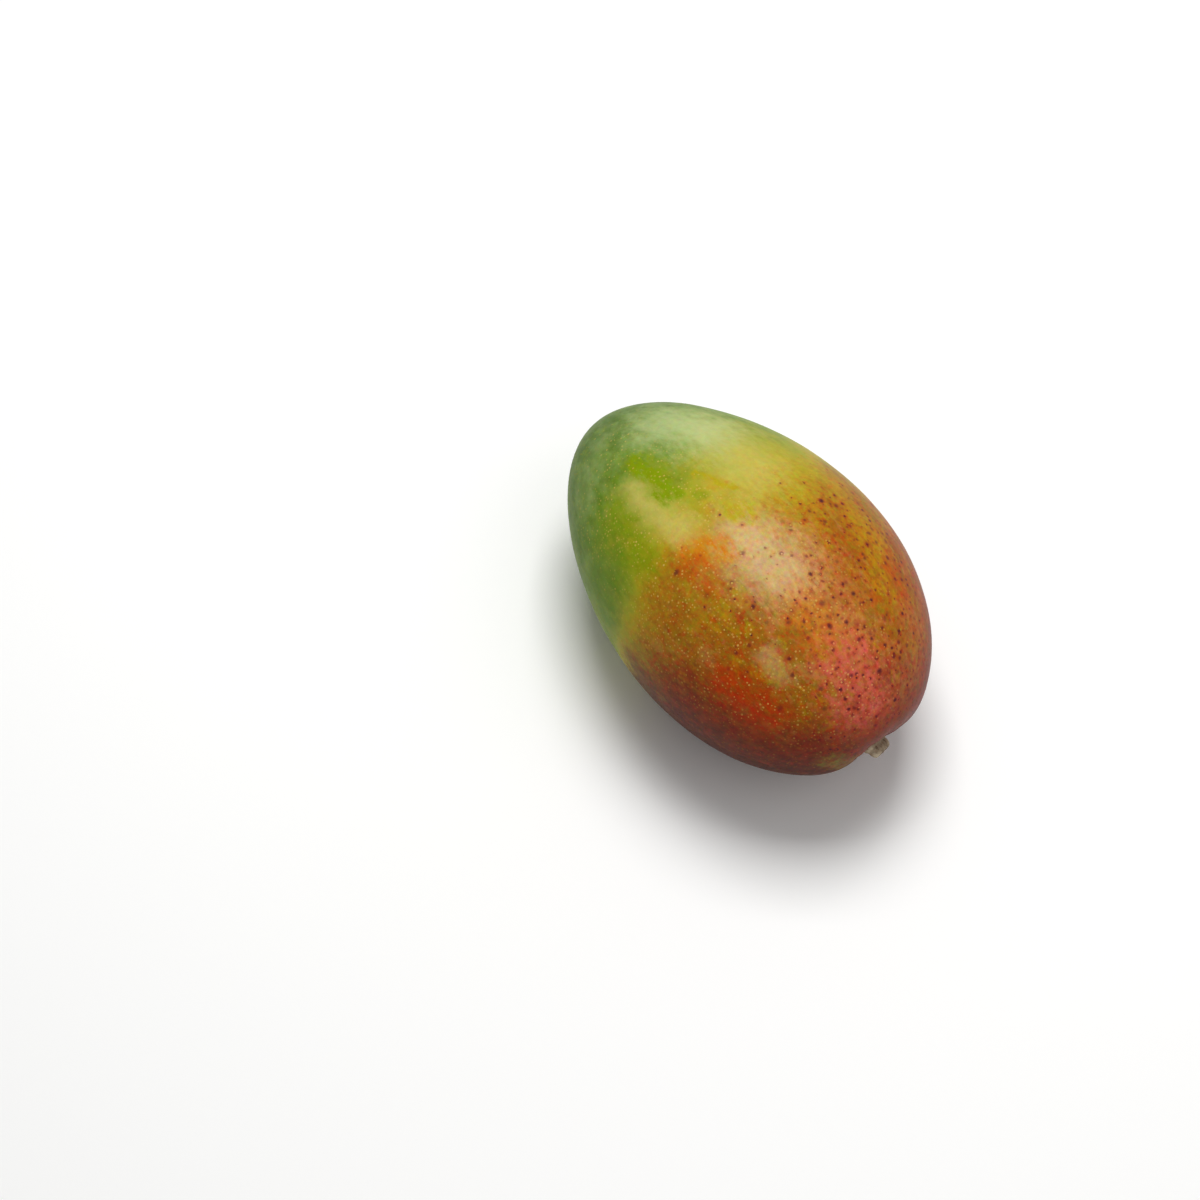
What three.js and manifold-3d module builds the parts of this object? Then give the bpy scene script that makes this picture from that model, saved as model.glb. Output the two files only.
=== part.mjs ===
// A whole mango as picked, lying on one cheek: the fruit, with a shallow basin at its stem end,
// and the woody stub of the stalk that is rooted in the basin.
// Millimetres, +Z up. X runs from the tip to the stem end, Y across the broad face of the fruit.

import * as THREE from 'three';
import { mergeVertices } from 'three/addons/utils/BufferGeometryUtils.js';
import Module from 'manifold-3d';

// Driving dimensions of the fruit
const FRUIT_LENGTH = 134.3;
const FRUIT_WIDTH = 86.5;
const FRUIT_THICKNESS = 77.8;
const STEM_HALF_FULLNESS = 0.12; // share by which sections grow towards the stem end and shrink to the tip
const END_TAPER = 0.046; // share by which sections near both ends are leaner than a plain oval's
const ROUND_EDGE_BULGE = 1.35; // how far both edges shift to +Y, which leaves the -Y edge a little flatter
const REST_FLAT_DEPTH = 0.7; // how far the lower cheek is pressed flat where the fruit lies

// The basin that the stalk stands in, low on the stem end
const BASIN_STATION = THREE.MathUtils.degToRad(11); // from the stem end's own pole
const BASIN_TURN = THREE.MathUtils.degToRad(-88); // about the long axis, from +Y towards +Z
const BASIN_DEPTH = 4.2; // below the plain oval
const BASIN_RADIUS = 10;
const STEM_LEAN = THREE.MathUtils.degToRad(8); // turn of the stalk from the long axis towards +Y
const STEM_DROOP = THREE.MathUtils.degToRad(12); // turn of the stalk from the long axis downwards

// The stub of the stalk, measured along its own axis from the floor of the basin
const COLLAR_RADIUS = 3.9;
const COLLAR_HEIGHT = 1.3;
const STUMP_RADIUS = 3.4;
const CUT_RADIUS = 3;
const CUT_HEIGHT = 4;
const CUT_HOLLOW = 0.6; // how far the dried pith has sunk below the cut's rim
const BARK_RIBS = 7;
const BARK_RIB_SHARE = 0.03; // share of the radius by which the ribs of the bark stand out
const ROOT_RADIUS = 2.2;
const ROOT_DEPTH = 3;
const SEAT_GAP = 0.3; // clearance between the stalk and the fruit

// Mesh fineness
const FRUIT_SECTORS = 64;
const FRUIT_STATIONS = 46;
const STEM_END_CROWDING = 1.3; // above 1, the stations crowd towards the basin
const STEM_SECTORS = 42;
const STEM_PROFILE_STEPS = 15;
const CUTTER_SIZE = 2 * FRUIT_LENGTH;

const wasm = await Module();
wasm.setup();

function toSolid(geometry) {
  const bare = geometry.clone();
  bare.deleteAttribute('normal');
  bare.deleteAttribute('uv');
  const merged = mergeVertices(bare);
  return new wasm.Manifold(new wasm.Mesh({
    numProp: 3,
    vertProperties: Float32Array.from(merged.attributes.position.array),
    triVerts: Uint32Array.from(merged.index.array),
  }));
}

function toGeometry(solid) {
  const mesh = solid.getMesh();
  const geometry = new THREE.BufferGeometry();
  geometry.setAttribute('position', new THREE.BufferAttribute(mesh.vertProperties, 3));
  geometry.setIndex(new THREE.BufferAttribute(mesh.triVerts, 1));
  geometry.computeVertexNormals();
  return geometry;
}

// A point of the plain oval. The station runs from the stem end to the tip, the turn about the long axis.
// A clearance makes the oval larger all round.
function ovalPoint(station, turn, clearance = 0) {
  const along = Math.cos(station);
  const swell = Math.sin(station) * (1 + STEM_HALF_FULLNESS * along - END_TAPER * along ** 2);
  const across = swell * Math.cos(turn);
  return new THREE.Vector3(
    (FRUIT_LENGTH / 2 + clearance) * along,
    (FRUIT_WIDTH / 2 + clearance) * across + ROUND_EDGE_BULGE * across ** 2,
    (FRUIT_THICKNESS / 2 + clearance) * swell * Math.sin(turn),
  );
}

const basinMiddle = ovalPoint(BASIN_STATION, BASIN_TURN);

// How far the stem end sinks towards the tip at a point of the oval
function basinSink(point) {
  const distance = Math.hypot(point.y - basinMiddle.y, point.z - basinMiddle.z);
  return point.x > 0 ? BASIN_DEPTH * Math.exp(-((distance / BASIN_RADIUS) ** 2)) : 0;
}

// The fruit's skin: a unit sphere stretched to the oval along X, with the basin sunk into it
function fruitGeometry(clearance = 0) {
  const geometry = new THREE.SphereGeometry(1, FRUIT_SECTORS, FRUIT_STATIONS);
  const position = geometry.attributes.position;
  for (let i = 0; i < position.count; i += 1) {
    const evenStation = Math.acos(THREE.MathUtils.clamp(position.getY(i), -1, 1)) / Math.PI;
    const station = Math.PI * evenStation ** STEM_END_CROWDING;
    const turn = Math.atan2(position.getX(i), position.getZ(i));
    const point = ovalPoint(station, turn, clearance);
    position.setXYZ(i, point.x - basinSink(point), point.y, point.z);
  }
  return geometry;
}

// The stub about its own axis, from inside the fruit to the hollow of the cut, with low ribs down its bark
function stubGeometry() {
  const side = new THREE.SplineCurve([
    new THREE.Vector2(COLLAR_RADIUS, -COLLAR_HEIGHT),
    new THREE.Vector2(COLLAR_RADIUS, COLLAR_HEIGHT / 2),
    new THREE.Vector2(STUMP_RADIUS, COLLAR_HEIGHT),
    new THREE.Vector2(STUMP_RADIUS, CUT_HEIGHT - 2 * CUT_HOLLOW),
    new THREE.Vector2(CUT_RADIUS, CUT_HEIGHT),
    new THREE.Vector2(CUT_RADIUS / 2, CUT_HEIGHT - CUT_HOLLOW),
  ]).getPoints(STEM_PROFILE_STEPS);
  const profile = [
    new THREE.Vector2(0, side[0].y),
    ...side,
    new THREE.Vector2(0, CUT_HEIGHT - CUT_HOLLOW),
  ];
  const geometry = new THREE.LatheGeometry(profile, STEM_SECTORS);
  const position = geometry.attributes.position;
  for (let i = 0; i < position.count; i += 1) {
    const turn = Math.atan2(position.getX(i), position.getZ(i));
    const rib = 1 + BARK_RIB_SHARE * Math.cos(BARK_RIBS * turn);
    position.setX(i, position.getX(i) * rib);
    position.setZ(i, position.getZ(i) * rib);
  }
  return geometry;
}

// A peg along the stub's axis, from below the basin's floor up into the stub
function rootGeometry(radius, depth, top) {
  const length = depth + top;
  return new THREE.CylinderGeometry(radius, radius, length, STEM_SECTORS).translate(0, (top - depth) / 2, 0);
}

// The stub's axis is +Y of its own frame. Here it turns to the stem end's outward direction.
const stemAxis = new THREE.Vector3(1, Math.tan(STEM_LEAN), -Math.tan(STEM_DROOP)).normalize();
const stemTurn = new THREE.Quaternion().setFromUnitVectors(new THREE.Vector3(0, 1, 0), stemAxis);
const basinFloor = basinMiddle.clone().setX(basinMiddle.x - BASIN_DEPTH);
const stemPlacement = new THREE.Matrix4().makeRotationFromQuaternion(stemTurn).setPosition(basinFloor);

function placedSolid(geometry) {
  return toSolid(geometry.applyMatrix4(stemPlacement));
}

function makeFruit() {
  const skin = fruitGeometry();
  skin.computeBoundingBox();
  const restHeight = skin.boundingBox.min.z + REST_FLAT_DEPTH;
  const below = new THREE.BoxGeometry(CUTTER_SIZE, CUTTER_SIZE, CUTTER_SIZE)
    .translate(0, 0, restHeight - CUTTER_SIZE / 2);
  const socket = rootGeometry(ROOT_RADIUS + SEAT_GAP, ROOT_DEPTH + SEAT_GAP, CUT_HEIGHT);
  const solid = toSolid(skin).subtract(toSolid(below)).subtract(placedSolid(socket));
  const material = new THREE.MeshStandardMaterial({ color: 0xa8963a, roughness: 0.42, metalness: 0 });
  const mesh = new THREE.Mesh(toGeometry(solid), material);
  mesh.name = 'fruit';
  return mesh;
}

function makeStem() {
  const stub = placedSolid(stubGeometry()).subtract(toSolid(fruitGeometry(SEAT_GAP)));
  const root = placedSolid(rootGeometry(ROOT_RADIUS, ROOT_DEPTH, CUT_HEIGHT / 2));
  const material = new THREE.MeshStandardMaterial({ color: 0x7a6a58, roughness: 0.85, metalness: 0 });
  const mesh = new THREE.Mesh(toGeometry(stub.add(root)), material);
  mesh.name = 'stem';
  return mesh;
}

// The mango stands on the origin: the middle of its outline, at the height of the flat that it lies on
const mango = new THREE.Group();
mango.add(makeFruit(), makeStem());
const bounds = new THREE.Box3().setFromObject(mango);
const middle = bounds.getCenter(new THREE.Vector3());
mango.position.set(-middle.x, -middle.y, -bounds.min.z);

export default mango;
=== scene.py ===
"""A whole mango lying on a pale studio floor: its ripening skin, its lenticels and the stub of its stalk."""

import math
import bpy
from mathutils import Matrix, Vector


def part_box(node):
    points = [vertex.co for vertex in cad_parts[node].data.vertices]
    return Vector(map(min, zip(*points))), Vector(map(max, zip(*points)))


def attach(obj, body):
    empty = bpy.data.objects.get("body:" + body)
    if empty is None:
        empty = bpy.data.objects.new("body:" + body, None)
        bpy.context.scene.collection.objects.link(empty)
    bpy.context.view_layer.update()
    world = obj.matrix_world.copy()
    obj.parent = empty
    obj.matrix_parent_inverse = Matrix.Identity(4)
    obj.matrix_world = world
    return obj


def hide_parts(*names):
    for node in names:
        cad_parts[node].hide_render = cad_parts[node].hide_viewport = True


bl_info = {
    "name": "Mango",
    "version": (1, 0, 0),
    "blender": (4, 5, 0),
    "location": "3D View > Sidebar > Mango",
    "description": "Makes a whole mango with lenticels and a stalk stub, and a pale studio floor",
    "category": "Object",
}

import bmesh
import bpy
from mathutils import Vector, noise

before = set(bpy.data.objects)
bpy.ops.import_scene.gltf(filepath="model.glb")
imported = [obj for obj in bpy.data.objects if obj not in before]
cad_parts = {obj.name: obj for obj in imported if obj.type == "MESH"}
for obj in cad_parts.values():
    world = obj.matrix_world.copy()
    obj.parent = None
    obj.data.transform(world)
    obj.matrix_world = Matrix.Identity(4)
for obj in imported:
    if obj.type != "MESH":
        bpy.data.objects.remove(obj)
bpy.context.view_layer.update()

FRUIT_LOW, FRUIT_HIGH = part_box("fruit")
BODY = "root"
MM = 0.001
IMAGE_SIDE = 1200
SENSOR_WIDTH = 36.0


def seen(red, green, blue):
    """The scene-linear colour of a colour that is given as it is seen, 0 to 255."""
    shares = [value / 255 for value in (red, green, blue)]
    return tuple(s / 12.92 if s <= 0.04045 else ((s + 0.055) / 1.055) ** 2.4 for s in shares)


def length_property(name, description, millimetres):
    return bpy.props.FloatProperty(
        name=name, description=description, default=millimetres * MM, unit="LENGTH", precision=5
    )


def share_property(name, description, default):
    return bpy.props.FloatProperty(name=name, description=description, default=default, subtype="FACTOR")


def angle_property(name, description, degrees):
    return bpy.props.FloatProperty(
        name=name, description=description, default=math.radians(degrees), subtype="ANGLE"
    )


def count_property(name, description, default):
    return bpy.props.IntProperty(name=name, description=description, default=default, min=0)


def colour_property(name, description, red, green, blue):
    return bpy.props.FloatVectorProperty(
        name=name, description=description, default=seen(red, green, blue), size=3, subtype="COLOR"
    )


class MangoFruitSettings(bpy.types.PropertyGroup):
    """The form of the fruit."""

    length: length_property("Length", "From the tip to the stem end, before the basin sinks", 134.3)
    width: length_property("Width", "Across the broad face of the fruit", 86.5)
    thickness: length_property("Thickness", "From cheek to cheek", 77.8)
    stem_fullness: share_property("Stem fullness", "How much sections grow towards the stem end", 0.12)
    end_taper: share_property("End taper", "How much leaner both ends are than a plain oval's", 0.046)
    edge_bulge: length_property("Edge bulge", "How far both edges shift across the fruit", 1.35)
    basin_station: angle_property("Basin station", "Place of the basin, from the stem end's pole", 11.0)
    basin_turn: angle_property("Basin turn", "Place of the basin about the long axis, from +Y", -88.0)
    basin_depth: length_property("Basin depth", "How far the stem end sinks round the stalk", 4.2)
    basin_radius: length_property("Basin radius", "How wide the stem end sinks round the stalk", 10.0)
    folds: count_property("Folds", "Number of soft folds round the stalk", 9)
    fold_height: length_property("Fold height", "Height of the folds round the stalk", 0.16)
    scar_height: length_property("Scar height", "Height of the flower's scar on the tip", 0.45)
    scar_radius: length_property("Scar radius", "Radius of the flower's scar on the tip", 1.4)
    dent_height: length_property("Dent height", "Height of the broad unevenness of the skin", 0.5)
    dent_size: length_property("Dent size", "Width of the broad unevenness of the skin", 26.0)
    pebble_height: length_property("Pebble height", "Height of the fine unevenness of the skin", 0.05)
    pebble_size: length_property("Pebble size", "Width of the fine unevenness of the skin", 3.2)
    steps: count_property("Steps", "Points along each side of the skin's six patches", 104)


class MangoSkinSettings(bpy.types.PropertyGroup):
    """The colours of the skin, from the tip to the stem end, and of what lies on it."""

    tip: colour_property("Tip", "Green of the shaded tip", 82, 112, 26)
    leaf: colour_property("Leaf", "Green of the unripe end", 106, 134, 24)
    lime: colour_property("Lime", "Yellow green where ripening starts", 160, 156, 38)
    straw: colour_property("Straw", "Dull yellow of the middle", 174, 152, 32)
    amber: colour_property("Amber", "Golden brown past the middle", 170, 130, 30)
    orange: colour_property("Orange", "Orange brown of the ripe half", 158, 104, 24)
    coral: colour_property("Coral", "Light red of the blush", 210, 106, 84)
    salmon: colour_property("Salmon", "Pale red between the specks", 188, 130, 72)
    # Partly painted shade: this dark red darkens the low side as well as reddening it
    brick_and_shade: colour_property("Brick", "Dark red of the low side", 136, 46, 22)
    # Painted shade: this dark brown darkens the under side
    shade_umber: colour_property("Umber", "Dark brown of the under side", 76, 34, 22)
    bronze: colour_property("Bronze", "Dark gold streaks along the sunny edge", 136, 84, 6)
    tangerine: colour_property("Tangerine", "Bright orange of the ripest skin", 200, 128, 14)
    mustard: colour_property("Mustard", "Dull yellow where the wax is scratched", 172, 156, 10)
    stem_end: colour_property("Stem end", "Dull brown red round the stalk", 140, 74, 50)
    flame: colour_property("Flame", "Red orange flecks of the ripe half", 184, 62, 6)
    gold: colour_property("Gold", "Golden flecks of the ripe half", 176, 132, 14)
    bloom: colour_property("Bloom", "White wax on the unripe end", 182, 194, 138)
    veil: colour_property("Veil", "Yellowish wax where ripening starts", 196, 184, 100)
    # Partly painted highlight: this pale wax also carries the sheen on the top of the ripe half
    wax_and_highlight: colour_property("Haze", "Thin wax on the ripe half", 204, 174, 122)
    rubbed: colour_property("Rubbed", "Clear green where the wax is rubbed off", 132, 150, 0)
    olive: colour_property("Olive", "Dull green of the low side", 134, 110, 40)
    lenticel: colour_property("Lenticel", "Pale dots all over the skin", 216, 184, 104)
    speck: colour_property("Speck", "Dark specks of the ripe half", 66, 22, 46)
    halo: colour_property("Halo", "Red ring round each dark speck", 172, 58, 24)


class MangoLenticelSettings(bpy.types.PropertyGroup):
    """The pale dots that the skin breathes through."""

    spacing: length_property("Spacing", "Least distance between two lenticels", 0.85)
    density: bpy.props.FloatProperty(
        name="Density", description="Most lenticels on a square metre of skin", default=0.75e6
    )
    radius_low: length_property("Least radius", "Radius of the smallest lenticels", 0.18)
    radius_high: length_property("Most radius", "Radius of the largest lenticels", 0.42)
    height: length_property("Height", "How far a lenticel stands out of the skin", 0.025)
    seed: count_property("Seed", "Which of the many scatters is used", 7)


class MangoStemSettings(bpy.types.PropertyGroup):
    """The woody stub of the stalk, measured along its own axis from the floor of the basin."""

    lean: angle_property("Lean", "Turn of the stalk from the long axis towards +Y", 8.0)
    droop: angle_property("Droop", "Turn of the stalk from the long axis downwards", 12.0)
    collar_radius: length_property("Collar radius", "Radius of the foot of the stub", 3.9)
    collar_height: length_property("Collar height", "Height of the foot of the stub", 1.3)
    stump_radius: length_property("Stump radius", "Radius of the stub above its foot", 3.4)
    cut_radius: length_property("Cut radius", "Radius of the cut end", 3.0)
    cut_height: length_property("Cut height", "Height of the cut end", 4.0)
    cut_hollow: length_property("Cut hollow", "How far the pith has sunk below the rim", 0.7)
    root: length_property("Root", "How deep the stub reaches into the fruit", 2.2)
    ribs: count_property("Ribs", "Number of low ribs down the bark", 7)
    bark: colour_property("Bark", "Dry bark of the stub", 172, 154, 130)
    bark_light: colour_property("Light bark", "Worn edges of the bark", 204, 190, 164)
    pith: colour_property("Pith", "Dried middle of the cut", 104, 84, 64)


class MangoStageSettings(bpy.types.PropertyGroup):
    """The camera, the lights and the floor."""

    azimuth: angle_property("Azimuth", "Turn of the camera about the fruit", 52.17)
    elevation: angle_property("Elevation", "Height of the camera above the horizon", 62.0)
    lens: bpy.props.FloatProperty(name="Lens", description="Focal length in millimetres", default=100.0)
    distance: length_property("Distance", "From the camera to the fruit", 978.8)
    fruit_pixel: bpy.props.FloatVectorProperty(
        name="Fruit pixel",
        description="Where the middle of the fruit stands in the picture, from its top left corner",
        default=(739.38, 580.85),
        size=2,
        subtype="COORDINATES",
    )
    floor: colour_property("Floor", "Pale studio floor", 250, 250, 249)
    key_power: bpy.props.FloatProperty(name="Key", description="Overhead softbox", default=6.8, unit="POWER")
    fill_power: bpy.props.FloatProperty(name="Fill", description="Wide soft fill", default=2.4, unit="POWER")
    sky: share_property("Sky", "Strength of the even light from all round", 0.28)


class Graph:
    """Adds linked nodes to one node tree, for shaders and for geometry alike."""

    def __init__(self, tree):
        self.tree = tree

    def feed(self, socket, value):
        if isinstance(value, bpy.types.NodeSocket):
            self.tree.links.new(value, socket)
        else:
            socket.default_value = value

    def put(self, kind, inputs=None, **settings):
        node = self.tree.nodes.new(kind)
        for name, value in settings.items():
            setattr(node, name, value)
        for name, value in (inputs or {}).items():
            self.feed(node.inputs[name], value)
        return node

    def math(self, operation, *values):
        node = self.put("ShaderNodeMath", operation=operation)
        for socket, value in zip(node.inputs, values):
            self.feed(socket, value)
        return node.outputs[0]

    def add(self, *values):
        total = values[0]
        for value in values[1:]:
            total = self.math("ADD", total, value)
        return total

    def times(self, *values):
        total = values[0]
        for value in values[1:]:
            total = self.math("MULTIPLY", total, value)
        return total

    def less(self, first, second):
        return self.math("SUBTRACT", first, second)

    def bell(self, squared, radius):
        """One at the middle, falling off with the squared distance over the radius."""
        ratio = self.math("DIVIDE", squared, self.times(radius, radius))
        return self.math("EXPONENT", self.times(ratio, -1.0))

    def vector(self, operation, *values):
        node = self.put("ShaderNodeVectorMath", operation=operation)
        for socket, value in zip(node.inputs, values):
            self.feed(socket, value)
        return node.outputs["Value" if operation in {"LENGTH", "DISTANCE", "DOT_PRODUCT"} else "Vector"]

    def scaled(self, vector, factor):
        node = self.put("ShaderNodeVectorMath", {"Vector": vector, "Scale": factor}, operation="SCALE")
        return node.outputs[0]

    def split(self, vector):
        return self.put("ShaderNodeSeparateXYZ", {"Vector": vector}).outputs

    def joined(self, x, y, z):
        return self.put("ShaderNodeCombineXYZ", {"X": x, "Y": y, "Z": z}).outputs[0]

    def band(self, value, low, high, start=0.0, end=1.0):
        """A smooth step from start, where the value is at low, to end, where it is at high."""
        ends = {"Value": value, "From Min": low, "From Max": high, "To Min": start, "To Max": end}
        return self.put("ShaderNodeMapRange", ends, interpolation_type="SMOOTHSTEP").outputs[0]

    def noise(self, vector, size, detail=3.0, roughness=0.55, distortion=0.0):
        """Soft noise whose lumps are about that size, in metres."""
        looks = {"Vector": vector, "Scale": 1 / size, "Detail": detail, "Roughness": roughness}
        return self.put("ShaderNodeTexNoise", {**looks, "Distortion": distortion}).outputs

    def blend(self, factor, first, second, mode="MIX"):
        node = self.put("ShaderNodeMix", data_type="RGBA", blend_type=mode, clamp_factor=True)
        self.feed(node.inputs[0], factor)
        self.feed(node.inputs[6], first)
        self.feed(node.inputs[7], second)
        return node.outputs[2]

    def ramp(self, value, stops):
        """A colour ramp with its stops as (place, colour) pairs."""
        node = self.put("ShaderNodeValToRGB", {"Fac": value})
        elements = node.color_ramp.elements
        while len(elements) < len(stops):
            elements.new(0.5)
        for element, (place, colour) in zip(elements, stops):
            element.position = place
            element.color = opaque(colour)
        return node.outputs[0]


def opaque(colour):
    return (*colour, 1.0)


def new_tree(name, kind, inputs, outputs):
    """A node group with named sockets: its graph, inputs by name, output node and input identifiers."""
    tree = bpy.data.node_groups.new(name, kind)
    identifiers = {}
    for socket_name, socket_type in inputs:
        socket = tree.interface.new_socket(name=socket_name, in_out="INPUT", socket_type=socket_type)
        identifiers[socket_name] = socket.identifier
    for socket_name, socket_type in outputs:
        tree.interface.new_socket(name=socket_name, in_out="OUTPUT", socket_type=socket_type)
    graph = Graph(tree)
    return graph, graph.put("NodeGroupInput").outputs, graph.put("NodeGroupOutput"), identifiers


def grown_mesh(name, base, tree, identifiers, values):
    """A new object with no modifier: the plain mesh that geometry nodes make from a base mesh."""
    piece = bpy.data.objects.new(name, base)
    bpy.context.scene.collection.objects.link(piece)
    modifier = piece.modifiers.new(name, "NODES")
    modifier.node_group = tree
    for socket_name, value in values.items():
        modifier[identifiers[socket_name]] = value
    bpy.context.view_layer.update()
    shown = piece.evaluated_get(bpy.context.evaluated_depsgraph_get())
    piece_mesh = bpy.data.meshes.new_from_object(shown)
    piece.modifiers.remove(modifier)
    piece.data = piece_mesh
    bpy.data.meshes.remove(base)
    piece_mesh.name = name
    if not piece_mesh.polygons:
        raise RuntimeError(f"the geometry nodes of {name} made no faces")
    return piece


def section_swell(fruit, station):
    """How full the section at a station is, as a share of the fruit's own width and thickness."""
    along = math.cos(station)
    return math.sin(station) * (1 + fruit.stem_fullness * along - fruit.end_taper * along ** 2)


STATION_STEPS = 720


def fullest_section(fruit):
    return max(section_swell(fruit, math.pi * step / STATION_STEPS) for step in range(STATION_STEPS + 1))


def body_centre(fruit):
    """Where the fruit's long axis has its middle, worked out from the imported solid's box."""
    peak = fullest_section(fruit)
    return Vector((
        FRUIT_LOW.x + fruit.length / 2,
        (FRUIT_LOW.y + FRUIT_HIGH.y) / 2 - fruit.edge_bulge * peak ** 2,
        FRUIT_HIGH.z - fruit.thickness / 2 * peak,
    ))


def basin_middle(fruit):
    """The point of the plain oval, from the fruit's middle, that the basin sinks at."""
    swell = section_swell(fruit, fruit.basin_station)
    across = swell * math.cos(fruit.basin_turn)
    return Vector((
        fruit.length / 2 * math.cos(fruit.basin_station),
        fruit.width / 2 * across + fruit.edge_bulge * across ** 2,
        fruit.thickness / 2 * swell * math.sin(fruit.basin_turn),
    ))


FRUIT_INPUTS = (
    ("Geometry", "NodeSocketGeometry"),
    ("Centre", "NodeSocketVector"),
    ("Length", "NodeSocketFloat"),
    ("Width", "NodeSocketFloat"),
    ("Thickness", "NodeSocketFloat"),
    ("Stem Fullness", "NodeSocketFloat"),
    ("End Taper", "NodeSocketFloat"),
    ("Edge Bulge", "NodeSocketFloat"),
    ("Basin Middle", "NodeSocketVector"),
    ("Basin Depth", "NodeSocketFloat"),
    ("Basin Radius", "NodeSocketFloat"),
    ("Folds", "NodeSocketFloat"),
    ("Fold Height", "NodeSocketFloat"),
    ("Scar Height", "NodeSocketFloat"),
    ("Scar Radius", "NodeSocketFloat"),
    ("Dent Height", "NodeSocketFloat"),
    ("Pebble Height", "NodeSocketFloat"),
    ("Steps", "NodeSocketInt"),
    ("Material", "NodeSocketMaterial"),
)


def fruit_form(g, value):
    """The place of each point of the skin, from its direction out of the fruit's middle."""
    direction = g.vector("NORMALIZE", g.put("GeometryNodeInputPosition").outputs[0])
    along, across, upward = g.split(direction)
    fullness = g.less(
        g.math("MULTIPLY_ADD", along, value["Stem Fullness"], 1.0),
        g.times(along, along, value["End Taper"]),
    )
    edge = g.times(fullness, across)
    y = g.add(
        g.times(value["Width"], 0.5, edge),
        g.times(value["Edge Bulge"], edge, edge),
    )
    z = g.times(value["Thickness"], 0.5, fullness, upward)
    _, stalk_y, stalk_z = g.split(value["Basin Middle"])
    aside = g.less(y, stalk_y)
    above = g.less(z, stalk_z)
    basin = g.times(
        g.bell(g.add(g.times(aside, aside), g.times(above, above)), value["Basin Radius"]),
        g.math("GREATER_THAN", along, 0.0),
    )
    turn = g.math("ARCTAN2", above, aside)
    fold = g.times(
        g.math("COSINE", g.times(turn, value["Folds"])),
        g.times(basin, g.less(1.0, basin), 4.0),
        value["Fold Height"],
    )
    scar = g.times(
        g.bell(g.add(g.times(y, y), g.times(z, z)), value["Scar Radius"]),
        g.math("LESS_THAN", along, 0.0),
        value["Scar Height"],
    )
    sunk = g.add(g.times(basin, value["Basin Depth"]), fold, scar)
    x = g.less(g.times(value["Length"], 0.5, along), sunk)
    return g.vector("ADD", g.joined(x, y, z), value["Centre"])


def pressed_flat(g, place):
    """The same place, with what would sink below the floor pressed flat on it."""
    x, y, z = g.split(place)
    soft_edge = 0.4 * MM
    return g.joined(x, y, g.math("SMOOTH_MAX", z, 0.0, soft_edge))


def fruit_tree(fruit):
    """The skin as a tree of geometry nodes: a cube's grid, rounded to the fruit's form and made uneven."""
    g, value, result, identifiers = new_tree(
        "Fruit Form", "GeometryNodeTree", FRUIT_INPUTS, [("Geometry", "NodeSocketGeometry")]
    )
    steps = value["Steps"]
    sides = {"Size": (2.0, 2.0, 2.0), "Vertices X": steps, "Vertices Y": steps, "Vertices Z": steps}
    cube = g.put("GeometryNodeMeshCube", sides).outputs["Mesh"]
    form = g.put("GeometryNodeSetPosition", {"Geometry": cube, "Position": fruit_form(g, value)})
    place = g.put("GeometryNodeInputPosition").outputs[0]
    dents = g.noise(place, fruit.dent_size, detail=1.0)[0]
    pebbles = g.noise(place, fruit.pebble_size, detail=2.0)[0]
    uneven = g.add(
        g.times(g.less(dents, 0.5), value["Dent Height"]),
        g.times(g.less(pebbles, 0.5), value["Pebble Height"]),
    )
    normal = g.put("GeometryNodeInputNormal").outputs[0]
    grown = g.put("GeometryNodeSetPosition", {
        "Geometry": form.outputs[0],
        "Offset": g.scaled(normal, uneven),
    })
    lying = g.put("GeometryNodeSetPosition", {
        "Geometry": grown.outputs[0],
        "Position": pressed_flat(g, g.put("GeometryNodeInputPosition").outputs[0]),
    })
    smooth = g.put("GeometryNodeSetShadeSmooth", {"Geometry": lying.outputs[0]})
    real = g.put("GeometryNodeRealizeInstances", {"Geometry": smooth.outputs[0]})
    dressed = g.put("GeometryNodeSetMaterial", {"Geometry": real.outputs[0], "Material": value["Material"]})
    g.feed(result.inputs["Geometry"], dressed.outputs[0])
    return g.tree, identifiers


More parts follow.
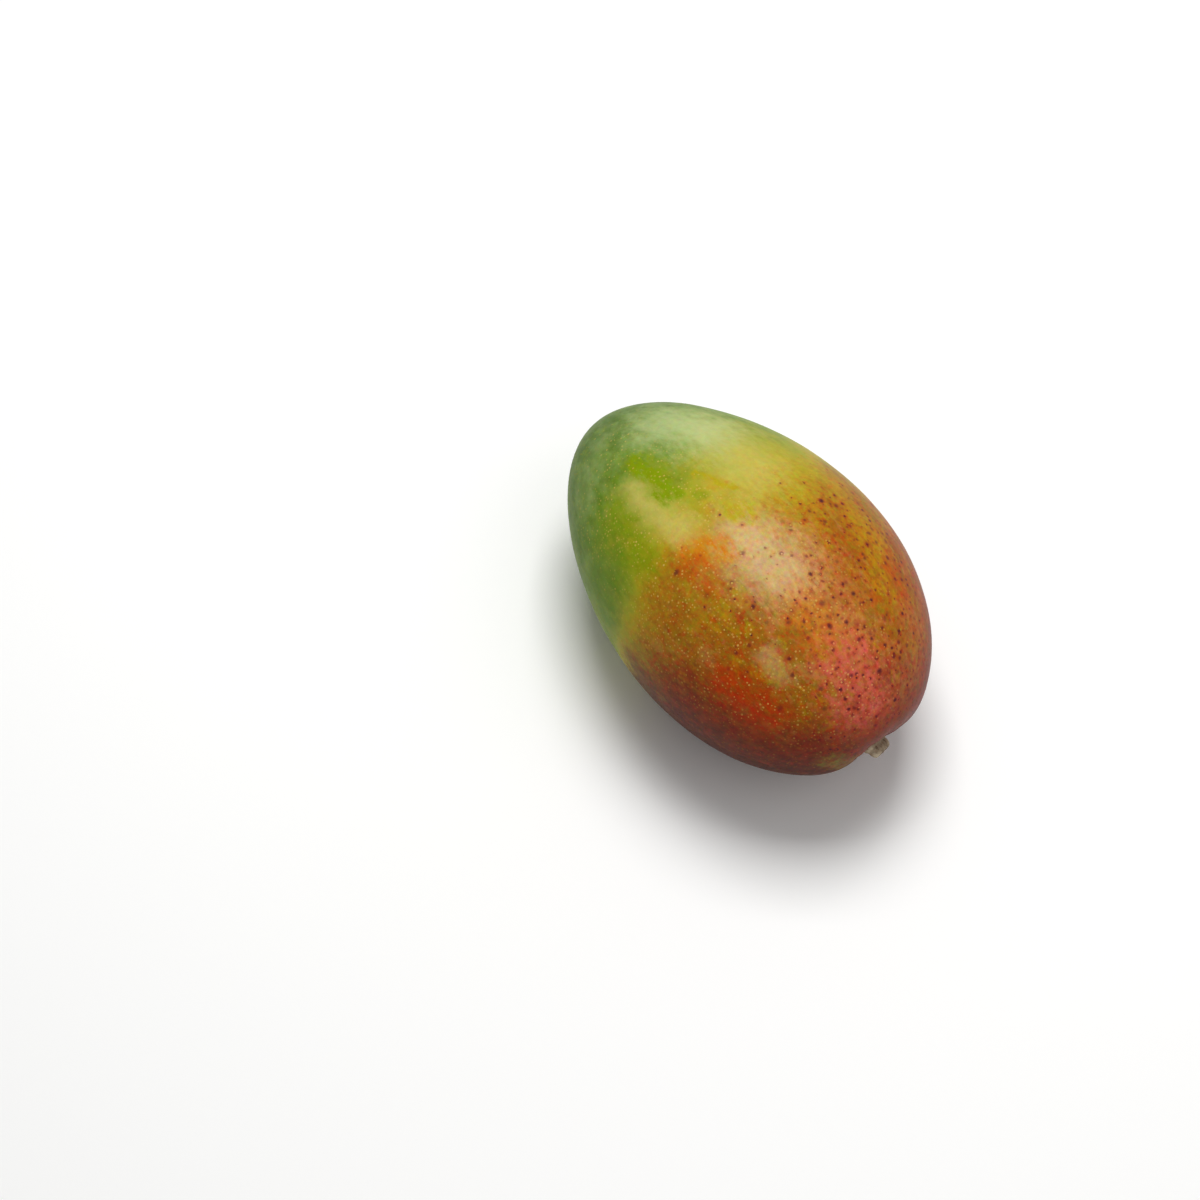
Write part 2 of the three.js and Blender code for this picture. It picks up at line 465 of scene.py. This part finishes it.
# Strokes of colour on the skin: colour, both ends and width in millimetres, strength
SKIN_STROKES = (
    ("salmon", (24, 3, 75), (42, 2, 70), 10, 0.7),
    ("tangerine", (30, -6, 74), (44, -5, 69), 6, 0.6),
    ("gold", (4, 33, 63), (22, 28, 66), 6, 0.8),
    ("gold", (22, 26, 67), (40, 20, 65), 6, 0.85),
    ("flame", (35, 26, 64), (43, 23, 61), 3, 0.65),
    ("salmon", (48, 21, 57), (62, 9, 50), 7, 0.4),
    ("coral", (51, -4, 65), (61, -5, 57), 9.5, 0.9),
    # Partly painted shade: the stem end's own dull red, deepened where shade falls
    ("stem_end", (61, -10, 44), (64, 6, 44), 7, 0.6),
    ("orange", (0, -29, 67), (15, -34, 63), 9, 0.6),
    # Partly painted shade: dark red along the low edge
    ("brick_and_shade", (28, -38, 50), (56, -27, 44), 11, 0.7),
    ("flame", (33, -32, 60), (45, -28, 56), 6.5, 0.8),
    # Partly painted highlight: two pale wax patches where the sheen falls
    ("wax_and_highlight", (36, -21, 68), (41, -21, 66), 3.5, 0.4),
    ("wax_and_highlight", (7, -6, 77), (18, -5, 76), 10, 0.85),
    ("tangerine", (-3, -18, 74), (4, -14, 75), 5, 1.0),
    ("flame", (2, -21, 73), (10, -21, 73), 4, 0.45),
    ("mustard", (-4, -3, 77), (0, 0, 77), 3.6, 1.0),
    ("bronze", (-4, 36, 58), (14, 33, 61), 5, 0.5),
    ("veil", (-30, 14, 68), (-13, 11, 74), 11, 0.65),
    ("bloom", (-44, 5, 64), (-35, 10, 67), 11, 0.75),
    ("bloom", (-52, -12, 57), (-43, -25, 54), 6, 0.15),
    ("veil", (-30, -18, 67), (-9, -17, 73), 5, 0.75),
    ("rubbed", (-37, -11, 67), (-20, -12, 73), 3.6, 1.2),
    ("rubbed", (-28, -26, 63), (-11, -30, 65), 6.5, 0.75),
    ("leaf", (-22, -33, 58), (-17, -40, 46), 9, 0.6),
    ("mustard", (-20, -3, 74), (-9, 3, 76), 1.7, 0.9),
    ("rubbed", (-15, -6, 75), (-13, -5, 75), 1.4, 0.7),
)
# Strokes laid over the painted shade of the under side, so that they show there as well
LOW_STROKES = (
    ("olive", (60, -18, 40), (64, -11, 35), 4, 0.8),
)
WAX_COLOURS = {"bloom", "veil", "wax_and_highlight"}


def stroke_distance(g, place, start, end, width):
    """The distance of a point from a stroke's middle line, in widths of the stroke."""
    run = end - start
    offset = g.vector("SUBTRACT", place, start)
    along = g.math("DIVIDE", g.vector("DOT_PRODUCT", offset, run), run.length_squared)
    nearest = g.scaled(run, g.put("ShaderNodeClamp", {"Value": along}).outputs[0])
    return g.math("DIVIDE", g.vector("DISTANCE", offset, nearest), width)


def painted(g, skin, strokes, brush, colour, wax):
    """The colour and the wax with strokes laid over them: soft-edged where they are wax, patchy elsewhere."""
    wavy, fraying, patchy = brush
    for colour_name, start, end, width, strength in strokes:
        line = stroke_distance(g, wavy, Vector(start) * MM, Vector(end) * MM, width * MM)
        if colour_name in WAX_COLOURS:
            cover = g.times(g.band(g.math("MULTIPLY_ADD", fraying, 0.6, line), 1.8, 0.0), strength)
            wax = g.math("MAXIMUM", wax, cover)
        else:
            cover = g.times(g.band(g.add(line, fraying), 1.6, 0.3), patchy, strength)
        colour = g.blend(cover, colour, opaque(getattr(skin, colour_name)))
    return colour, wax


# Sizes of the skin's noises, from broad to fine
CLOUD_SIZE = 17 * MM
WANDER_SIZE = 6 * MM
MOTTLE_SIZE = 5 * MM
STREAK_SIZE = 4 * MM
FLECK_SIZE = 2.6 * MM
FRAY_SIZE = 2.6 * MM
PATCH_SIZE = 2.2 * MM
GRAIN_SIZE = 1.8 * MM
WANDER_REACH = 6 * MM  # how far the strokes wander from their lines
FRAY_REACH = 2.6  # how far their edges fray, in widths of the stroke
LENGTHWISE = (0.4, 1.0, 1.0)  # draws noise out along the fruit
MIDDLE_GREY = (0.5, 0.5, 0.5)


def ripening_group(fruit, skin):
    """The colour of the skin at a point, with its wax: shared by the skin and by the lenticels on it."""
    g, value, result, _ = new_tree(
        "Ripening",
        "ShaderNodeTree",
        [("Vector", "NodeSocketVector")],
        [("Color", "NodeSocketColor"), ("Ripeness", "NodeSocketFloat"), ("Wax", "NodeSocketFloat")],
    )
    place = g.vector("SUBTRACT", value["Vector"], body_centre(fruit))
    half = (fruit.length / 2, fruit.width / 2, fruit.thickness / 2)
    along, across, upward = g.split(g.vector("DIVIDE", place, half))
    lengthwise = g.vector("MULTIPLY", place, LENGTHWISE)
    clouds = g.noise(place, CLOUD_SIZE, detail=5.0, roughness=0.6, distortion=0.4)[0]
    streaks = g.noise(lengthwise, STREAK_SIZE, detail=4.0, roughness=0.6)[0]
    mottles = g.noise(lengthwise, MOTTLE_SIZE, detail=6.0, roughness=0.66, distortion=0.6)[0]
    flecks = g.noise(place, FLECK_SIZE, detail=5.0, roughness=0.66)[0]
    grain = g.noise(place, GRAIN_SIZE, detail=4.0, roughness=0.7)[1]
    ripeness = g.add(
        g.math("MULTIPLY_ADD", along, 0.5, 0.5),
        g.times(g.less(clouds, 0.5), 0.3),
        g.times(g.less(streaks, 0.5), 0.14),
        g.times(g.less(flecks, 0.5), 0.12),
        g.times(g.band(across, -0.55, -0.9), g.band(along, 0.1, -0.2), -0.12),
    )
    colour = g.ramp(ripeness, [
        (0.05, skin.tip),
        (0.24, skin.leaf),
        (0.38, skin.lime),
        (0.46, skin.straw),
        (0.55, skin.amber),
        (0.66, skin.orange),
        (0.88, skin.orange),
        (0.98, skin.stem_end),
    ])
    ripe = g.band(ripeness, 0.5, 0.64)
    # Partly painted shade: the ripe skin turns a darker red towards the low side
    low_side_red_and_shade = g.times(g.band(upward, 0.7, 0.0), g.band(ripeness, 0.48, 0.7))
    ripe_half = g.band(ripeness, 0.38, 0.55)
    sunlit = g.times(ripe, g.less(1.0, low_side_red_and_shade))
    colour = g.blend(g.times(low_side_red_and_shade, 0.8), colour, opaque(skin.brick_and_shade))
    colour = g.blend(g.times(sunlit, g.band(mottles, 0.52, 0.6), 0.5), colour, opaque(skin.salmon))
    colour = g.blend(g.times(sunlit, g.band(mottles, 0.47, 0.39), 0.7), colour, opaque(skin.gold))
    colour = g.blend(g.times(ripe, g.band(flecks, 0.53, 0.62), 0.45), colour, opaque(skin.flame))
    sunny_edge = g.times(sunlit, g.band(across, 0.3, 0.75), g.band(streaks, 0.46, 0.6))
    colour = g.blend(g.times(sunny_edge, 0.6), colour, opaque(skin.bronze))
    unripe = g.band(ripeness, 0.42, 0.2)
    bloom = g.times(unripe, g.band(streaks, 0.35, 0.72), 0.22)
    colour = g.blend(bloom, colour, opaque(skin.bloom))
    cleared = g.times(unripe, g.band(flecks, 0.52, 0.7), 0.35)
    colour = g.blend(cleared, colour, opaque(skin.rubbed))
    drift = g.vector("SUBTRACT", g.noise(value["Vector"], WANDER_SIZE, detail=3.0)[1], MIDDLE_GREY)
    wavy = g.vector("ADD", value["Vector"], g.scaled(drift, WANDER_REACH))
    frays = g.noise(lengthwise, FRAY_SIZE, detail=5.0, roughness=0.68)[0]
    fraying = g.times(g.less(frays, 0.5), FRAY_REACH)
    patches = g.noise(lengthwise, PATCH_SIZE, detail=5.0, roughness=0.68)[0]
    patchy = g.band(patches, 0.38, 0.56, 0.4, 1.0)
    brush = (wavy, fraying, patchy)
    colour, wax = painted(g, skin, SKIN_STROKES, brush, colour, bloom)
    # Painted shade: the ripe half darkens to dark brown towards the under side
    underside_shade = g.times(g.band(g.math("MULTIPLY_ADD", fraying, 0.25, upward), 0.45, -0.25), ripe_half)
    colour = g.blend(g.times(underside_shade, 0.9), colour, opaque(skin.shade_umber))
    colour, wax = painted(g, skin, LOW_STROKES, brush, colour, wax)
    vivid = g.vector("MULTIPLY_ADD", grain, (2.2, 2.2, 2.2), (-0.6, -0.6, -0.6))
    colour = g.blend(g.band(ripeness, 0.35, 0.6, 0.15, 0.45), colour, vivid, "SOFT_LIGHT")
    g.feed(result.inputs["Color"], colour)
    g.feed(result.inputs["Ripeness"], ripeness)
    g.feed(result.inputs["Wax"], wax)
    return g.tree


def new_material(name):
    """A material with its graph and its surface shader."""
    material = bpy.data.materials.new(name)
    material.use_nodes = True
    graph = Graph(material.node_tree)
    return material, graph, material.node_tree.nodes["Principled BSDF"]


def group_node(graph, tree, vector):
    node = graph.put("ShaderNodeGroup", node_tree=tree)
    graph.feed(node.inputs["Vector"], vector)
    return node.outputs


def speck_layer(g, place, spacing, core_radius, share):
    """Masks of round specks scattered through space: their dark cores and the rings round them."""
    spots = g.put("ShaderNodeTexVoronoi", {"Vector": place, "Scale": 1 / spacing}).outputs
    chance, size, depth = g.split(spots["Color"])
    distance = g.times(spots["Distance"], spacing)
    radius = g.times(g.math("MULTIPLY_ADD", size, 0.8, 0.5), core_radius)
    nearness = g.math("DIVIDE", distance, radius)
    present = g.math("LESS_THAN", chance, share)
    darkness = g.band(depth, 0.0, 1.0, 0.3, 1.0)
    core = g.times(g.band(nearness, 1.5, 0.35), present, darkness)
    ring = g.times(g.band(nearness, 3.6, 0.6), present, darkness)
    return core, ring


# Layers of specks: spacing and core radius in millimetres, and the share of places that hold a speck
SPECK_LAYERS = ((3.6, 0.75, 0.75), (2.3, 0.55, 0.8), (1.5, 0.34, 0.6))
RAGGED_SIZE = 0.9 * MM  # of the notches in the specks' edges
RAGGED_REACH = 0.7 * MM
PORE_SIZE = 0.7 * MM
PORE_DEPTH = 0.05 * MM
SKIN_SHEEN = 0.15  # specular level of waxy skin


def skin_material(fruit, ripening, skin):
    """Waxy fruit skin: the ripening colours, dark specks with red rings, and a satin sheen."""
    material, g, surface = new_material("Mango Skin")
    place = g.put("ShaderNodeTexCoord").outputs["Object"]
    ripe = group_node(g, ripening, place)
    across = g.split(g.vector("SUBTRACT", place, body_centre(fruit)))[1]
    sunny = g.times(
        g.band(across, -0.28 * fruit.width, 0.02 * fruit.width, 0.06, 1.0),
        g.band(ripe["Ripeness"], 0.42, 0.75),
        g.band(ripe["Wax"], 0.1, 0.6, 1.0, 0.25),
    )
    colour = ripe["Color"]
    jitter = g.vector("SUBTRACT", g.noise(place, RAGGED_SIZE, detail=2.0)[1], MIDDLE_GREY)
    ragged = g.vector("ADD", place, g.scaled(jitter, RAGGED_REACH))
    for spacing, core_radius, share in SPECK_LAYERS:
        core, ring = speck_layer(g, ragged, spacing * MM, core_radius * MM, g.times(sunny, share))
        colour = g.blend(g.times(ring, 0.4), colour, opaque(skin.halo))
        colour = g.blend(g.times(core, 0.85), colour, opaque(skin.speck))
    g.feed(surface.inputs["Base Color"], colour)
    g.feed(surface.inputs["Roughness"], g.math("MULTIPLY_ADD", ripe["Wax"], 0.2, 0.42))
    surface.inputs["Specular IOR Level"].default_value = SKIN_SHEEN
    pores = g.noise(place, PORE_SIZE, detail=3.0)[0]
    bump = g.put("ShaderNodeBump", {"Strength": 0.25, "Distance": PORE_DEPTH, "Height": pores})
    g.feed(surface.inputs["Normal"], bump.outputs[0])
    return material


LENTICEL_INPUTS = (
    ("Geometry", "NodeSocketGeometry"),
    ("Spacing", "NodeSocketFloat"),
    ("Density", "NodeSocketFloat"),
    ("Least Radius", "NodeSocketFloat"),
    ("Most Radius", "NodeSocketFloat"),
    ("Height", "NodeSocketFloat"),
    ("Seed", "NodeSocketInt"),
    ("Material", "NodeSocketMaterial"),
)
CROWD_SIZE = 14 * MM  # of the patches where lenticels crowd
FLOOR_GAP = 1.0 * MM  # height below which there are none
TINT_SIZE = 3.2 * MM  # of the patches where they are pale


def lenticel_tree(fruit):
    """Low round dots scattered over the skin, dense on its low side and sparse on the sunny one."""
    g, value, result, identifiers = new_tree(
        "Lenticels", "GeometryNodeTree", LENTICEL_INPUTS, [("Geometry", "NodeSocketGeometry")]
    )
    skin_point = g.put("GeometryNodeInputPosition").outputs[0]
    height = g.split(skin_point)[2]
    place = g.vector("SUBTRACT", skin_point, body_centre(fruit))
    across = g.split(place)[1]
    clouds = g.noise(place, CROWD_SIZE, detail=2.0)[0]
    crowding = g.times(
        g.band(across, 0.4 * fruit.width, -0.25 * fruit.width, 0.2, 1.0),
        g.band(clouds, 0.25, 0.6, 0.35, 1.0),
        g.math("GREATER_THAN", height, FLOOR_GAP),
    )
    scatter = g.put("GeometryNodeDistributePointsOnFaces", {
        "Mesh": value["Geometry"],
        "Distance Min": value["Spacing"],
        "Density Max": value["Density"],
        "Density Factor": crowding,
        "Seed": value["Seed"],
    }, distribute_method="POISSON")
    radius = g.put("FunctionNodeRandomValue", data_type="FLOAT")
    g.feed(radius.inputs[2], value["Least Radius"])
    g.feed(radius.inputs[3], value["Most Radius"])
    g.feed(radius.inputs["Seed"], value["Seed"])
    dot = g.put("GeometryNodeMeshIcoSphere", {"Radius": 1.0, "Subdivisions": 1})
    dots = g.put("GeometryNodeInstanceOnPoints", {
        "Points": scatter.outputs["Points"],
        "Instance": dot.outputs["Mesh"],
        "Rotation": scatter.outputs["Rotation"],
        "Scale": g.joined(radius.outputs[1], radius.outputs[1], value["Height"]),
    })
    real = g.put("GeometryNodeRealizeInstances", {"Geometry": dots.outputs[0]})
    dressed = g.put("GeometryNodeSetMaterial", {"Geometry": real.outputs[0], "Material": value["Material"]})
    g.feed(result.inputs["Geometry"], dressed.outputs[0])
    return g.tree, identifiers


def lenticel_material(fruit, ripening, skin):
    """Pale corky dots, tinted by the skin that they stand in."""
    material, g, surface = new_material("Mango Lenticels")
    place = g.put("ShaderNodeTexCoord").outputs["Object"]
    ripe = group_node(g, ripening, place)
    _, across, upward = g.split(g.vector("SUBTRACT", place, body_centre(fruit)))
    strength = g.times(
        g.band(g.noise(place, TINT_SIZE, detail=4.0, roughness=0.7)[0], 0.38, 0.64, 0.04, 0.6),
        g.band(across, 0.2 * fruit.width, -0.2 * fruit.width, 0.3, 1.0),
        g.band(upward, 0.05 * fruit.thickness, 0.35 * fruit.thickness, 0.3, 1.0),
        g.band(ripe["Wax"], 0.1, 0.6, 1.0, 0.3),
    )
    g.feed(surface.inputs["Base Color"], g.blend(strength, ripe["Color"], opaque(skin.lenticel)))
    surface.inputs["Roughness"].default_value = 0.6
    surface.inputs["Specular IOR Level"].default_value = SKIN_SHEEN
    return material


def stem_profile(stem):
    """The stub's side as (radius, height) pairs, from inside the fruit up to the hollow of the cut."""
    rim = stem.cut_radius
    top = stem.cut_height
    return [
        (0.7 * stem.collar_radius, -stem.root),
        (0.95 * stem.collar_radius, -0.5 * stem.root),
        (1.02 * stem.collar_radius, 0.0),
        (stem.collar_radius, 0.45 * stem.collar_height),
        (0.94 * stem.collar_radius, 0.8 * stem.collar_height),
        (stem.stump_radius, 1.1 * stem.collar_height),
        (stem.stump_radius, 0.55 * top),
        (0.97 * stem.stump_radius, 0.72 * top),
        (rim, 0.86 * top),
        (0.88 * rim, 0.96 * top),
        (0.72 * rim, top),
        (0.6 * rim, top - 0.2 * stem.cut_hollow),
        (0.42 * rim, top - 0.8 * stem.cut_hollow),
        (0.18 * rim, top - stem.cut_hollow),
    ]


def smooth_profile(points, steps):
    """Points along a smooth curve through the given ones, with that many steps between each two."""
    curve = []
    padded = [points[0], *points, points[-1]]
    for before, start, end, after in zip(padded, padded[1:], padded[2:], padded[3:]):
        for step in range(steps):
            t = step / steps
            point = []
            for a, b, c, d in zip(before, start, end, after):
                squared = (2 * a - 5 * b + 4 * c - d) * t ** 2
                cubed = (3 * b - a - 3 * c + d) * t ** 3
                point.append(0.5 * (2 * b + (c - a) * t + squared + cubed))
            curve.append(tuple(point))
    curve.append(points[-1])
    return curve


STEM_SECTORS = 96
STEM_STEPS = 4
RIB_SHARE = 0.03  # of the radius, as are the next two
FURROW_SHARE = 0.05
BARK_GRAIN_SHARE = 0.025
CUT_UNEVENNESS = 0.1 * MM
# Fineness of the stub's noises: round its axis, and per metre along it
FURROW_FINENESS = (3.2, 120)
BARK_GRAIN_FINENESS = (9, 250)
CUT_FINENESS = 2
CUT_SLICE = 7  # the slice of the noise that the cut end takes


def bark_noise(outward, height, fineness):
    round_axis, along_axis = fineness
    return noise.noise(Vector((round_axis * outward.x, round_axis * outward.y, along_axis * height)))


def stem_mesh(stem, foot, turn):
    """The stub as one closed body of rings, with ribs, furrows and an uneven cut."""
    rings = smooth_profile(stem_profile(stem), STEM_STEPS)
    shape = bmesh.new()
    loops = []
    for radius, height in rings:
        loop = []
        for sector in range(STEM_SECTORS):
            angle = 2 * math.pi * sector / STEM_SECTORS
            rib = 1 + RIB_SHARE * math.cos(stem.ribs * angle)
            outward = Vector((math.sin(angle), math.cos(angle)))
            furrow = bark_noise(outward, height, FURROW_FINENESS)
            grain = bark_noise(outward, height, BARK_GRAIN_FINENESS)
            uneven = 1 + FURROW_SHARE * furrow + BARK_GRAIN_SHARE * grain
            spread = outward * radius * rib * uneven
            lift = CUT_UNEVENNESS * bark_noise(outward, CUT_SLICE, (CUT_FINENESS, 1))
            loop.append(shape.verts.new(foot + turn @ Vector((height + lift, spread.x, spread.y))))
        loops.append(loop)
    for lower, upper in zip(loops, loops[1:]):
        for sector in range(STEM_SECTORS):
            after = (sector + 1) % STEM_SECTORS
            shape.faces.new((lower[sector], lower[after], upper[after], upper[sector]))
    shape.faces.new(loops[0])
    shape.faces.new(loops[-1])
    bmesh.ops.recalc_face_normals(shape, faces=shape.faces)
    mesh = bpy.data.meshes.new("stem_stub")
    for face in shape.faces:
        face.smooth = True
    shape.to_mesh(mesh)
    shape.free()
    return mesh


BARK_STRETCH = (0.35, 1.0, 1.0)  # draws the furrows out along the stub
FURROW_SIZE = 0.9 * MM
FURROW_DEPTH = 0.15 * MM
WORN_SIZE = 2.5 * MM  # of the worn, pale patches


def stem_material(stem, foot, turn):
    """Dry bark: grey-brown with pale worn ribs, dark furrows along the stub and a dark pith."""
    material, g, surface = new_material("Mango Stalk")
    place = g.put("ShaderNodeTexCoord").outputs["Object"]
    own = g.put("ShaderNodeMapping", {
        "Vector": place,
        "Location": foot,
        "Rotation": turn.to_euler(),
    }, vector_type="TEXTURE").outputs[0]
    height, side, other = g.split(own)
    stretched = g.vector("MULTIPLY", own, BARK_STRETCH)
    furrows = g.noise(stretched, FURROW_SIZE, detail=5.0, roughness=0.65)[0]
    worn = g.noise(own, WORN_SIZE, detail=3.0)[0]
    colour = g.blend(g.band(furrows, 0.28, 0.56), opaque(stem.pith), opaque(stem.bark))
    colour = g.blend(g.times(g.band(worn, 0.45, 0.7), 0.8), colour, opaque(stem.bark_light))
    from_axis = g.math("SQRT", g.add(g.times(side, side), g.times(other, other)))
    inside_cut = g.times(
        g.band(from_axis, 0.85 * stem.cut_radius, 0.6 * stem.cut_radius),
        g.band(height, 0.5 * stem.cut_height, 0.7 * stem.cut_height),
    )
    colour = g.blend(g.times(inside_cut, 0.85), colour, opaque(stem.pith))
    g.feed(surface.inputs["Base Color"], colour)
    surface.inputs["Roughness"].default_value = 0.85
    bump = g.put("ShaderNodeBump", {"Strength": 0.6, "Distance": FURROW_DEPTH, "Height": furrows})
    g.feed(surface.inputs["Normal"], bump.outputs[0])
    return material


def shared_ripening(context):
    """The ripening group, made once for all who use it."""
    made = bpy.data.node_groups.get("Ripening")
    return made or ripening_group(context.scene.mango_fruit, context.scene.mango_skin)


class MANGO_OT_fruit(bpy.types.Operator):
    """Makes the fruit with its ripening skin, in place of the plain solid"""

    bl_idname = "mango.make_fruit"
    bl_label = "Make fruit"

    def execute(self, context):
        fruit = context.scene.mango_fruit
        material = skin_material(fruit, shared_ripening(context), context.scene.mango_skin)
        tree, identifiers = fruit_tree(fruit)
        piece = grown_mesh("fruit_skin", bpy.data.meshes.new("fruit_skin"), tree, identifiers, {
            "Centre": body_centre(fruit),
            "Length": fruit.length,
            "Width": fruit.width,
            "Thickness": fruit.thickness,
            "Stem Fullness": fruit.stem_fullness,
            "End Taper": fruit.end_taper,
            "Edge Bulge": fruit.edge_bulge,
            "Basin Middle": basin_middle(fruit),
            "Basin Depth": fruit.basin_depth,
            "Basin Radius": fruit.basin_radius,
            "Folds": float(fruit.folds),
            "Fold Height": fruit.fold_height,
            "Scar Height": fruit.scar_height,
            "Scar Radius": fruit.scar_radius,
            "Dent Height": fruit.dent_height,
            "Pebble Height": fruit.pebble_height,
            "Steps": fruit.steps,
            "Material": material,
        })
        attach(piece, BODY)
        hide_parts("fruit")
        return {"FINISHED"}


class MANGO_OT_lenticels(bpy.types.Operator):
    """Scatters the pale lenticels over the fruit's skin"""

    bl_idname = "mango.make_lenticels"
    bl_label = "Make lenticels"

    def execute(self, context):
        settings = context.scene.mango_lenticels
        skin_piece = bpy.data.objects.get("fruit_skin")
        if skin_piece is None:
            raise RuntimeError("make the fruit before its lenticels")
        fruit = context.scene.mango_fruit
        material = lenticel_material(fruit, shared_ripening(context), context.scene.mango_skin)
        tree, identifiers = lenticel_tree(fruit)
        piece = grown_mesh("lenticels", skin_piece.data.copy(), tree, identifiers, {
            "Spacing": settings.spacing,
            "Density": settings.density,
            "Least Radius": settings.radius_low,
            "Most Radius": settings.radius_high,
            "Height": settings.height,
            "Seed": settings.seed,
            "Material": material,
        })
        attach(piece, BODY)
        return {"FINISHED"}


class MANGO_OT_stem(bpy.types.Operator):
    """Makes the woody stub of the stalk, in place of the plain solid"""

    bl_idname = "mango.make_stem"
    bl_label = "Make stem"

    def execute(self, context):
        fruit = context.scene.mango_fruit
        stem = context.scene.mango_stem
        axis = Vector((1.0, math.tan(stem.lean), -math.tan(stem.droop)))
        turn = Vector((1.0, 0.0, 0.0)).rotation_difference(axis).to_matrix()
        foot = body_centre(fruit) + basin_middle(fruit) - Vector((fruit.basin_depth, 0.0, 0.0))
        piece = bpy.data.objects.new("stem_stub", stem_mesh(stem, foot, turn))
        context.scene.collection.objects.link(piece)
        piece.data.materials.append(stem_material(stem, foot, turn))
        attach(piece, BODY)
        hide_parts("stem")
        return {"FINISHED"}


class MANGO_OT_stage(bpy.types.Operator):
    """Makes the pale floor, the soft lights and the camera"""

    bl_idname = "mango.make_stage"
    bl_label = "Make stage"

    def execute(self, context):
        scene = context.scene
        stage = scene.mango_stage
        aim = body_centre(scene.mango_fruit)
        make_floor(scene, stage)
        make_lights(scene, stage, aim)
        make_camera(scene, stage, aim)
        scene.view_settings.view_transform = "Standard"
        scene.view_settings.look = "Medium High Contrast"
        return {"FINISHED"}


FLOOR_SIDE = 6.0


def make_floor(scene, stage):
    shape = bmesh.new()
    bmesh.ops.create_grid(shape, x_segments=1, y_segments=1, size=FLOOR_SIDE / 2)
    mesh = bpy.data.meshes.new("floor")
    shape.to_mesh(mesh)
    shape.free()
    floor = bpy.data.objects.new("floor", mesh)
    scene.collection.objects.link(floor)
    material, _, surface = new_material("Pale Floor")
    surface.inputs["Base Color"].default_value = opaque(stage.floor)
    surface.inputs["Roughness"].default_value = 0.9
    mesh.materials.append(material)


def make_softbox(scene, name, power, size, place, aim):
    light = bpy.data.lights.new(name, "AREA")
    light.shape = "RECTANGLE"
    light.size, light.size_y = size
    light.energy = power
    box = bpy.data.objects.new(name, light)
    scene.collection.objects.link(box)
    box.location = place
    box.rotation_euler = (aim - place).to_track_quat("-Z", "Y").to_euler()


# Softboxes in metres, with their places from the middle of the fruit
KEY_SIZE = (0.5, 0.5)
KEY_PLACE = Vector((-0.24, 0.2, 0.96))
FILL_SIZE = (1.2, 1.2)
FILL_PLACE = Vector((0.8, 0.2, 0.9))


def make_lights(scene, stage, aim):
    make_softbox(scene, "key", stage.key_power, KEY_SIZE, aim + KEY_PLACE, aim)
    make_softbox(scene, "fill", stage.fill_power, FILL_SIZE, aim + FILL_PLACE, aim)
    world = bpy.data.worlds.new("Studio")
    world.use_nodes = True
    background = world.node_tree.nodes["Background"]
    background.inputs["Strength"].default_value = stage.sky
    background.inputs["Color"].default_value = (1.0, 1.0, 1.0, 1.0)
    scene.world = world


CAMERA_REACH = 20.0


def make_camera(scene, stage, aim):
    """A camera that sees the fruit from the photograph's side and at its place in the picture."""
    azimuth, elevation = stage.azimuth, stage.elevation
    back = Vector((
        math.sin(azimuth) * math.cos(elevation),
        -math.cos(azimuth) * math.cos(elevation),
        math.sin(elevation),
    ))
    turn = (-back).to_track_quat("-Z", "Y")
    metres_per_pixel = SENSOR_WIDTH / stage.lens / IMAGE_SIDE * stage.distance
    aside = (stage.fruit_pixel[0] - IMAGE_SIDE / 2) * metres_per_pixel
    above = (IMAGE_SIDE / 2 - stage.fruit_pixel[1]) * metres_per_pixel
    data = bpy.data.cameras.new("camera")
    data.lens = stage.lens
    data.sensor_width = SENSOR_WIDTH
    data.clip_end = CAMERA_REACH
    camera = bpy.data.objects.new("camera", data)
    scene.collection.objects.link(camera)
    camera.location = aim + back * stage.distance - turn @ Vector((aside, above, 0.0))
    camera.rotation_euler = turn.to_euler()
    scene.camera = camera


class MANGO_PT_panel(bpy.types.Panel):
    """Lists the pieces of the mango and their settings"""

    bl_idname = "MANGO_PT_panel"
    bl_label = "Mango"
    bl_space_type = "VIEW_3D"
    bl_region_type = "UI"
    bl_category = "Mango"

    def draw(self, context):
        for settings_name, _ in SETTINGS:
            settings = getattr(context.scene, settings_name)
            box = self.layout.box()
            box.label(text=settings.bl_rna.name)
            for key in settings.__annotations__:
                box.prop(settings, key)
        for operator in OPERATORS:
            self.layout.operator(operator.bl_idname)


SETTINGS = (
    ("mango_fruit", MangoFruitSettings),
    ("mango_skin", MangoSkinSettings),
    ("mango_lenticels", MangoLenticelSettings),
    ("mango_stem", MangoStemSettings),
    ("mango_stage", MangoStageSettings),
)
OPERATORS = (MANGO_OT_fruit, MANGO_OT_lenticels, MANGO_OT_stem, MANGO_OT_stage)


def register():
    for settings_name, settings in SETTINGS:
        bpy.utils.register_class(settings)
        setattr(bpy.types.Scene, settings_name, bpy.props.PointerProperty(type=settings))
    for operator in OPERATORS:
        bpy.utils.register_class(operator)
    bpy.utils.register_class(MANGO_PT_panel)


def unregister():
    bpy.utils.unregister_class(MANGO_PT_panel)
    for operator in reversed(OPERATORS):
        bpy.utils.unregister_class(operator)
    for settings_name, settings in reversed(SETTINGS):
        delattr(bpy.types.Scene, settings_name)
        bpy.utils.unregister_class(settings)


def main():
    register()
    bpy.ops.mango.make_fruit()
    bpy.ops.mango.make_lenticels()
    bpy.ops.mango.make_stem()
    bpy.ops.mango.make_stage()


if __name__ == "__main__":
    main()
